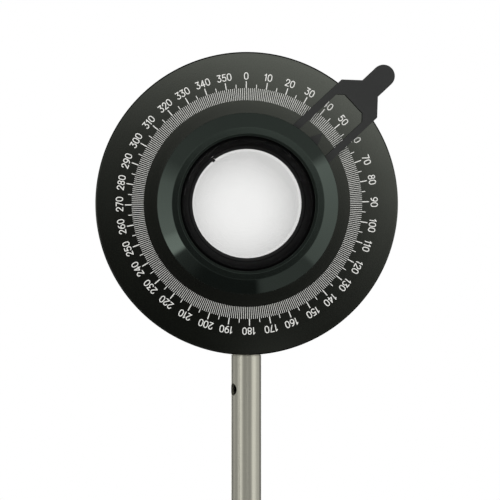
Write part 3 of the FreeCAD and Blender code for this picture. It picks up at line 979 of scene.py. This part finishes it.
class WAVEPLATE_OT_hub(bpy.types.Operator):
    """Turn the hub ring and the barrel, and give the snap ring and the rear collar their matte finish"""

    bl_idname = "waveplate.hub"
    bl_label = "Hub"

    def execute(self, context):
        sizes = context.scene.waveplate_hub
        ring = turned("gloss_hub_ring", eased([
            (BARREL_FIT, 1.5 * MM, 0),
            (HUB_RADIUS, 1.5 * MM, 0.1 * MM),
            (HUB_RADIUS, sizes.bevel_high, sizes.edge_round),
            (sizes.bevel_inner, HUB_HIGH, sizes.edge_round),
            (sizes.lip, HUB_HIGH, sizes.lip_round),
            (sizes.lip, 4.2 * MM, 0),
            (BARREL_FIT, 4.2 * MM, 0),
        ], 8), crease=25)
        add_piece(
            "gloss_hub_ring", ring, gloss_black(sizes.gloss, sizes.roughness),
            "pointer", ["hub_ring"],
        )
        matte = matte_black(sizes.matte, 0.55)
        shell, nose, mouth = 23 * MM, 21.6 * MM, 21.2 * MM
        cell, groove, seat, way = 19.3 * MM, 19.6 * MM, 18.6 * MM, 20.5 * MM
        rear, shoulder, nose_high = -19 * MM, 4.2 * MM, 5 * MM
        barrel = turned("optic_barrel", eased([
            (shell, rear, 0.1 * MM),
            (shell, shoulder, 0),
            (nose, shoulder, 0),
            (nose, nose_high, 0.1 * MM),
            (mouth, nose_high, 0.1 * MM),
            (cell, -0.05 * MM, 0),
            (cell, -0.15 * MM, 0),
            (groove, -0.15 * MM, 0),
            (groove, -1.85 * MM, 0),
            (cell, -1.85 * MM, 0),
            (cell, -6.2 * MM, 0),
            (seat, -6.2 * MM, 0),
            (seat, -7.2 * MM, 0),
            (way, -7.2 * MM, 0),
            (way, -17.8 * MM, 0),
            (21.7 * MM, rear, 0.1 * MM),
        ], 3))
        add_piece("optic_barrel", barrel, matte, "pointer", ["barrel"])
        dress(["snap_ring", "rear_collar"], matte)
        return {"FINISHED"}


class WAVEPLATE_OT_pointer(bpy.types.Operator):
    """Cut the forked pointer from sheet"""

    bl_idname = "waveplate.pointer"
    bl_label = "Pointer"

    def execute(self, context):
        sizes = context.scene.waveplate_pointer
        root = 29 * MM
        half = 8.6 * MM
        shoulder = 50.7 * MM
        tab = 3.75 * MM
        neck = 55.55 * MM
        tip = 65.35 * MM
        window = 6.2 * MM
        window_top = 48.1 * MM
        cut = 2 * MM
        index_out = 34.2 * MM
        foot = Vector((2.45 * MM, 28.9 * MM))
        foot_turn = math.atan2(foot.x, foot.y)

        def root_arc(start, end, steps):
            return [(root * math.sin(angle), root * math.cos(angle)) for angle in (
                start + (end - start) * step / steps for step in range(steps + 1)
            )]

        leg = math.asin(half / root)
        inner = math.asin(window / root)
        outer = (
            root_arc(-leg, -leg - (FULL_TURN - 2 * leg), 180)
            + [(half, shoulder), (tab, neck)]
            + arc_points((0, tip - tab), (tab, tab), 0, 180, 32)
            + [(-tab, neck), (-half, shoulder)]
        )
        opening = (
            root_arc(-inner, -foot_turn, 5)
            + [(0, index_out)]
            + root_arc(foot_turn, inner, 5)
            + [
                (window, window_top - cut), (window - cut, window_top),
                (cut - window, window_top), (-window, window_top - cut),
            ]
        )
        bore = [(BARREL_FIT * math.sin(FULL_TURN * step / 180), BARREL_FIT * math.cos(FULL_TURN * step / 180))
                for step in range(180)]

        def place(x, y, height):
            right = Vector((math.cos(sizes.turn), 0, -math.sin(sizes.turn)))
            out = Vector((math.sin(sizes.turn), 0, math.cos(sizes.turn)))
            return Vector((0, FACE_Y - height, AXIS_Z)) + right * x + out * y

        opening.reverse()
        mesh = plate(
            "sheet_pointer", [outer, opening, bore], 0.3 * MM, 0.3 * MM + sizes.thick, sizes.edge, place
        )
        add_piece(
            "sheet_pointer", mesh, painted_dark(sizes.colour, 0.5), "pointer", ["pointer_lever"]
        )
        return {"FINISHED"}


class WAVEPLATE_OT_optic(bpy.types.Operator):
    """Grind the two cover glasses and lay the retarder film between them"""

    bl_idname = "waveplate.optic"
    bl_label = "Optic"

    def execute(self, context):
        sizes = context.scene.waveplate_optic
        glass = clear_glass()
        for name, node, back, front in (
            ("front_cover_glass", "front_glass", -3.8 * MM, -1.8 * MM),
            ("rear_cover_glass", "rear_glass", -6.2 * MM, -4.2 * MM),
        ):
            mesh = turned(name, eased([
                (0, back, 0),
                (sizes.radius, back, sizes.chamfer),
                (sizes.radius, front, sizes.chamfer),
                (0, front, 0),
            ], 3), segments=192)
            add_piece(name, mesh, glass, "pointer", [node])
        radius, back, front, edge = 19 * MM, -4.18 * MM, -3.82 * MM, 0.05 * MM
        film = turned("film_disc", eased([
            (0, back, 0), (radius, back, edge), (radius, front, edge), (0, front, 0),
        ], 2), segments=192)
        finish = retarder_clear(sizes.tint)
        add_piece("film_disc", film, finish, "pointer", ["retarder_film"])
        return {"FINISHED"}


class WAVEPLATE_OT_fittings(bpy.types.Operator):
    """Finish the screws, the wave spring and the slip rings"""

    bl_idname = "waveplate.fittings"
    bl_label = "Fittings"

    def execute(self, context):
        sizes = context.scene.waveplate_rod
        dress(
            ["lever_screws", "collar_screws", "wave_spring"],
            ground_steel("bright_steel", sizes.colour, 0.25),
        )
        dress(["front_slip_ring", "rear_slip_ring"], slip_white((0.75, 0.74, 0.7)))
        return {"FINISHED"}


def softbox(name, direction, distance, sizes, radiance):
    """Flat lamp aimed at the hub from a direction, with a radiance that reads as a white of that strength."""
    lamp = bpy.data.lights.new(name, "AREA")
    lamp.shape = "RECTANGLE"
    lamp.size, lamp.size_y = sizes
    lamp.energy = radiance * math.pi * sizes[0] * sizes[1]
    thing = bpy.data.objects.new(name, lamp)
    bpy.context.scene.collection.objects.link(thing)
    heading = Vector(direction).normalized()
    thing.location = Vector((0, FACE_Y, AXIS_Z)) + heading * distance
    thing.rotation_euler = heading.to_track_quat("Z", "Y").to_euler()
    thing.visible_camera = False
    thing.visible_glossy = False


# Soft panels that gloss sees in the studio: azimuths from and to, with the softness of each side, in degrees;
# heights from and to, with the softness of each end; brightness at the low and the high end; and whether only
# the directions that the hub ring's bevel mirrors see it
STUDIO_PANELS = (
    (24, 75, 4, 4, -0.93, -0.62, 0.02, 0.02, 0.36, 0.34, False),
    (41, 97, 6, 26, -0.62, 0.46, 0.02, 0.05, 0.7, 1.2, False),
    (122, 154, 8, 6, -0.3, 0.2, 0.05, 0.05, 0.12, 0.12, False),
    (-154, -122, 6, 8, -0.3, 0.2, 0.05, 0.05, 0.16, 0.16, False),
    (-122, -72, 8, 6, -0.16, 0.1, 0.05, 0.05, 0.54, 0.54, False),
    (-54, -36, 4, 8, -0.6, 0.6, 0.15, 0.1, 1.05, 1.05, False),
    (-90, -54, 6, 3, -0.54, 0.36, 0.03, 0.12, 1.3, 0.84, True),
    (-90, -52, 6, 3, -0.54, -0.36, 0.02, 0.03, 1.9, 1.7, True),
)
# Length in which the offsets of the mirrored window are measured
WINDOW_UNIT = 44.5 * MM


def studio_gloss(tree, parts, sizes):
    """What gloss sees of the studio, by direction: dim walls, soft panels and a soft window by the camera."""
    x, y, z = parts
    front = math_node(tree, "MULTIPLY", y, -1.0)
    azimuth = math_node(tree, "ARCTAN2", x, front)
    low_wall = ranged(tree, z, 0.06, 0.38, -0.8, -0.4)
    high_wall = ranged(tree, z, 0.38, 0.33, 0.3, 0.9)
    level = math_node(tree, "MINIMUM", low_wall, high_wall)
    beside_bevel = lying_within(tree, front, 0.355, 0.435, 0.015, 0.015)
    for *azimuths, low, high, soft_low, soft_high, dim, bright, bevel_only in STUDIO_PANELS:
        bounds = [math.radians(angle) for angle in azimuths]
        across = lying_within(tree, azimuth, *bounds)
        upward = lying_within(tree, z, low, high, soft_low, soft_high)
        shape = math_node(tree, "MULTIPLY", across, upward)
        if bevel_only:
            shape = math_node(tree, "MULTIPLY", shape, beside_bevel)
        level = mixed(tree, shape, level, ranged(tree, z, dim, bright, low, high))
    # Above and below, square to the optical axis, the studio is dark
    steep = ranged(tree, math_node(tree, "ABSOLUTE", z), 0.0, 0.9, 0.1, 0.4)
    gap = math_node(tree, "MULTIPLY", lying_within(tree, front, -0.22, 0.2, 0.06, 0.06), steep)
    level = math_node(tree, "MULTIPLY", level, math_node(tree, "SUBTRACT", 1.0, gap))
    # Offsets from the direction in which the middle of the disc mirrors the camera
    spread = sizes.distance / WINDOW_UNIT
    aside = math_node(tree, "MULTIPLY", math_node(tree, "SUBTRACT", x, math.sin(sizes.side)), spread)
    above = math_node(tree, "MULTIPLY", z, spread)
    aside_square = math_node(tree, "MULTIPLY", aside, aside)
    square = math_node(tree, "MULTIPLY_ADD", above, above, aside_square)
    power = math_node(tree, "MULTIPLY_ADD", square, 0.6, -1.96)
    power = math_node(tree, "MULTIPLY_ADD", aside, 0.72, power)
    power = math_node(tree, "MULTIPLY_ADD", above, 1.45, power)
    window = math_node(tree, "MINIMUM", math_node(tree, "EXPONENT", power), 1.5)
    glint = add_node(tree, "ShaderNodeCombineXYZ", {
        "X": math_node(tree, "SUBTRACT", aside, 0.16),
        "Y": math_node(tree, "ADD", above, 1.15),
    }).outputs[0]
    glint_away = vector_node(tree, "LENGTH", glint)["Value"]
    window = math_node(tree, "ADD", window, ranged(tree, glint_away, 0.22, 0.0, 0.05, 0.4))
    frontal = ranged(tree, front, 0.0, 1.0, 0.5, 0.6)
    near = math_node(tree, "MULTIPLY", ranged(tree, square, 1.0, 0.0, 3.0, 8.0), frontal)
    return mixed(tree, near, level, window)


def studio_world(context):
    """White behind for what looks through or past the object, and a dim studio for what its gloss sees."""
    world = bpy.data.worlds.new("studio")
    context.scene.world = world
    world.use_nodes = True
    tree = world.node_tree
    tree.nodes.clear()
    path = tree.nodes.new("ShaderNodeLightPath").outputs
    direction = tree.nodes.new("ShaderNodeTexCoord").outputs["Generated"]
    parts = add_node(tree, "ShaderNodeSeparateXYZ", {"Vector": direction}).outputs
    behind = ranged(tree, parts["Y"], 0.0, 1.0, 0.86, 0.92)
    studio = mixed(tree, behind, studio_gloss(tree, parts, context.scene.waveplate_stage), 1.0)
    mirrored = math_node(tree, "GREATER_THAN", path["Glossy Depth"], 0.5)
    through = math_node(tree, "SUBTRACT", path["Is Transmission Ray"], mirrored)
    mirror = math_node(tree, "MULTIPLY", path["Is Glossy Ray"], behind)
    seen = math_node(tree, "MAXIMUM", math_node(tree, "MAXIMUM", path["Is Camera Ray"], through), mirror)
    soft = mixed(tree, path["Is Diffuse Ray"], studio, 0.6)
    strength = mixed(tree, seen, soft, 1.0)
    background = add_node(tree, "ShaderNodeBackground", {"Color": (1, 1, 1, 1), "Strength": strength})
    add_node(tree, "ShaderNodeOutputWorld", {"Surface": background.outputs[0]})


def floor_finish():
    """Pale floor that reads as white where it is lit, keeps the shadow and fades into the backdrop."""
    material = bpy.data.materials.new("pale_floor")
    material.use_nodes = True
    tree = material.node_tree
    tree.nodes.clear()
    path = tree.nodes.new("ShaderNodeLightPath").outputs
    place = tree.nodes.new("ShaderNodeTexCoord").outputs["Object"]
    mottle = noise(tree, place, 6.0, 3.0)
    colour = blended(tree, mottle, (0.6, 0.6, 0.6), (0.64, 0.64, 0.64))
    pale = add_node(tree, "ShaderNodeBsdfDiffuse", {"Color": colour}).outputs[0]
    seen = math_node(tree, "MAXIMUM", path["Is Camera Ray"], path["Is Transmission Ray"])
    shown = math_node(tree, "MAXIMUM", seen, path["Is Glossy Ray"])
    away = vector_node(tree, "LENGTH", place)["Value"]
    far = ranged(tree, away, 0.0, 1.0, 0.22, 0.46)
    lift = math_node(tree, "MULTIPLY", shown, 0.45)
    glow = add_node(tree, "ShaderNodeEmission", {"Color": (1, 1, 1, 1), "Strength": lift}).outputs[0]
    near = add_node(tree, "ShaderNodeAddShader", {0: pale, 1: glow}).outputs[0]
    white = add_node(tree, "ShaderNodeEmission", {"Color": (1, 1, 1, 1), "Strength": shown}).outputs[0]
    fade = math_node(tree, "MULTIPLY", far, shown)
    both = add_node(tree, "ShaderNodeMixShader", {0: fade, 1: near, 2: white}).outputs[0]
    add_node(tree, "ShaderNodeOutputMaterial", {"Surface": both})
    return material


class WAVEPLATE_OT_stage(bpy.types.Operator):
    """Set up the floor, the lights and the camera"""

    bl_idname = "waveplate.stage"
    bl_label = "Stage"

    def execute(self, context):
        sizes = context.scene.waveplate_stage
        studio_world(context)
        mesh = turned("floor", [
            (0, -0.01), (sizes.floor, -0.01), (sizes.floor, 0), (0, 0),
        ], about_rod, 96)
        floor = bpy.data.objects.new("floor", mesh)
        mesh.materials.append(floor_finish())
        context.scene.collection.objects.link(floor)
        floor.visible_glossy = False
        floor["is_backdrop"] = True
        for name, direction, panel in (
            ("right_softbox", (0.8, -0.6, 0.25), (0.5, 0.9)),
            ("left_softbox", (-0.85, -0.5, 0.15), (0.4, 0.7)),
            ("top_softbox", (0.1, -0.6, 0.8), (0.6, 0.4)),
        ):
            softbox(name, direction, sizes.lamp_distance, panel, sizes.lamp_radiance)
        camera = bpy.data.objects.new("camera", bpy.data.cameras.new("camera"))
        context.scene.collection.objects.link(camera)
        context.scene.camera = camera
        centre = Vector((sizes.centre_x, FACE_Y, sizes.centre_z))
        eye = Vector((
            centre.x - sizes.distance * math.sin(sizes.side),
            FACE_Y - sizes.distance * math.cos(sizes.side),
            AXIS_Z,
        ))
        camera.location = eye
        camera.rotation_euler = (centre - eye).to_track_quat("-Z", "Y").to_euler()
        camera.data.sensor_width = 36
        camera.data.lens = camera.data.sensor_width * sizes.distance / sizes.width
        camera.data.clip_start = 0.01
        camera.data.clip_end = 20
        context.scene.view_settings.view_transform = "Standard"
        return {"FINISHED"}


SETTINGS = {
    "waveplate_disc": DiscSettings,
    "waveplate_scale": ScaleSettings,
    "waveplate_rod": RodSettings,
    "waveplate_hub": HubSettings,
    "waveplate_pointer": PointerSettings,
    "waveplate_optic": OpticSettings,
    "waveplate_stage": StageSettings,
}
OPERATORS = (
    WAVEPLATE_OT_stage,
    WAVEPLATE_OT_disc,
    WAVEPLATE_OT_marks,
    WAVEPLATE_OT_numbers,
    WAVEPLATE_OT_rod,
    WAVEPLATE_OT_hub,
    WAVEPLATE_OT_pointer,
    WAVEPLATE_OT_optic,
    WAVEPLATE_OT_fittings,
)


class WAVEPLATE_PT_sidebar(bpy.types.Panel):
    """Lists the makers of the pieces"""

    bl_idname = "WAVEPLATE_PT_sidebar"
    bl_label = "Wave Plate"
    bl_space_type = "VIEW_3D"
    bl_region_type = "UI"
    bl_category = "Wave Plate"

    def draw(self, context):
        for name, settings in SETTINGS.items():
            box = self.layout.box()
            for setting in settings.__annotations__:
                box.prop(getattr(context.scene, name), setting)
        for maker in OPERATORS:
            self.layout.operator(maker.bl_idname)


def register():
    for name, settings in SETTINGS.items():
        bpy.utils.register_class(settings)
        setattr(bpy.types.Scene, name, PointerProperty(type=settings))
    for maker in OPERATORS:
        bpy.utils.register_class(maker)
    bpy.utils.register_class(WAVEPLATE_PT_sidebar)


def unregister():
    bpy.utils.unregister_class(WAVEPLATE_PT_sidebar)
    for maker in reversed(OPERATORS):
        bpy.utils.unregister_class(maker)
    for name, settings in SETTINGS.items():
        delattr(bpy.types.Scene, name)
        bpy.utils.unregister_class(settings)


def main():
    register()
    bpy.ops.waveplate.stage()
    bpy.ops.waveplate.disc()
    bpy.ops.waveplate.marks()
    bpy.ops.waveplate.numbers()
    bpy.ops.waveplate.rod()
    bpy.ops.waveplate.hub()
    bpy.ops.waveplate.pointer()
    bpy.ops.waveplate.optic()
    bpy.ops.waveplate.fittings()
    boxes = {"cad": cad_box, "visual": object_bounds()}
    {name: [list(corner) for corner in box] for name, box in boxes.items()}


if __name__ == "__main__":
    main()
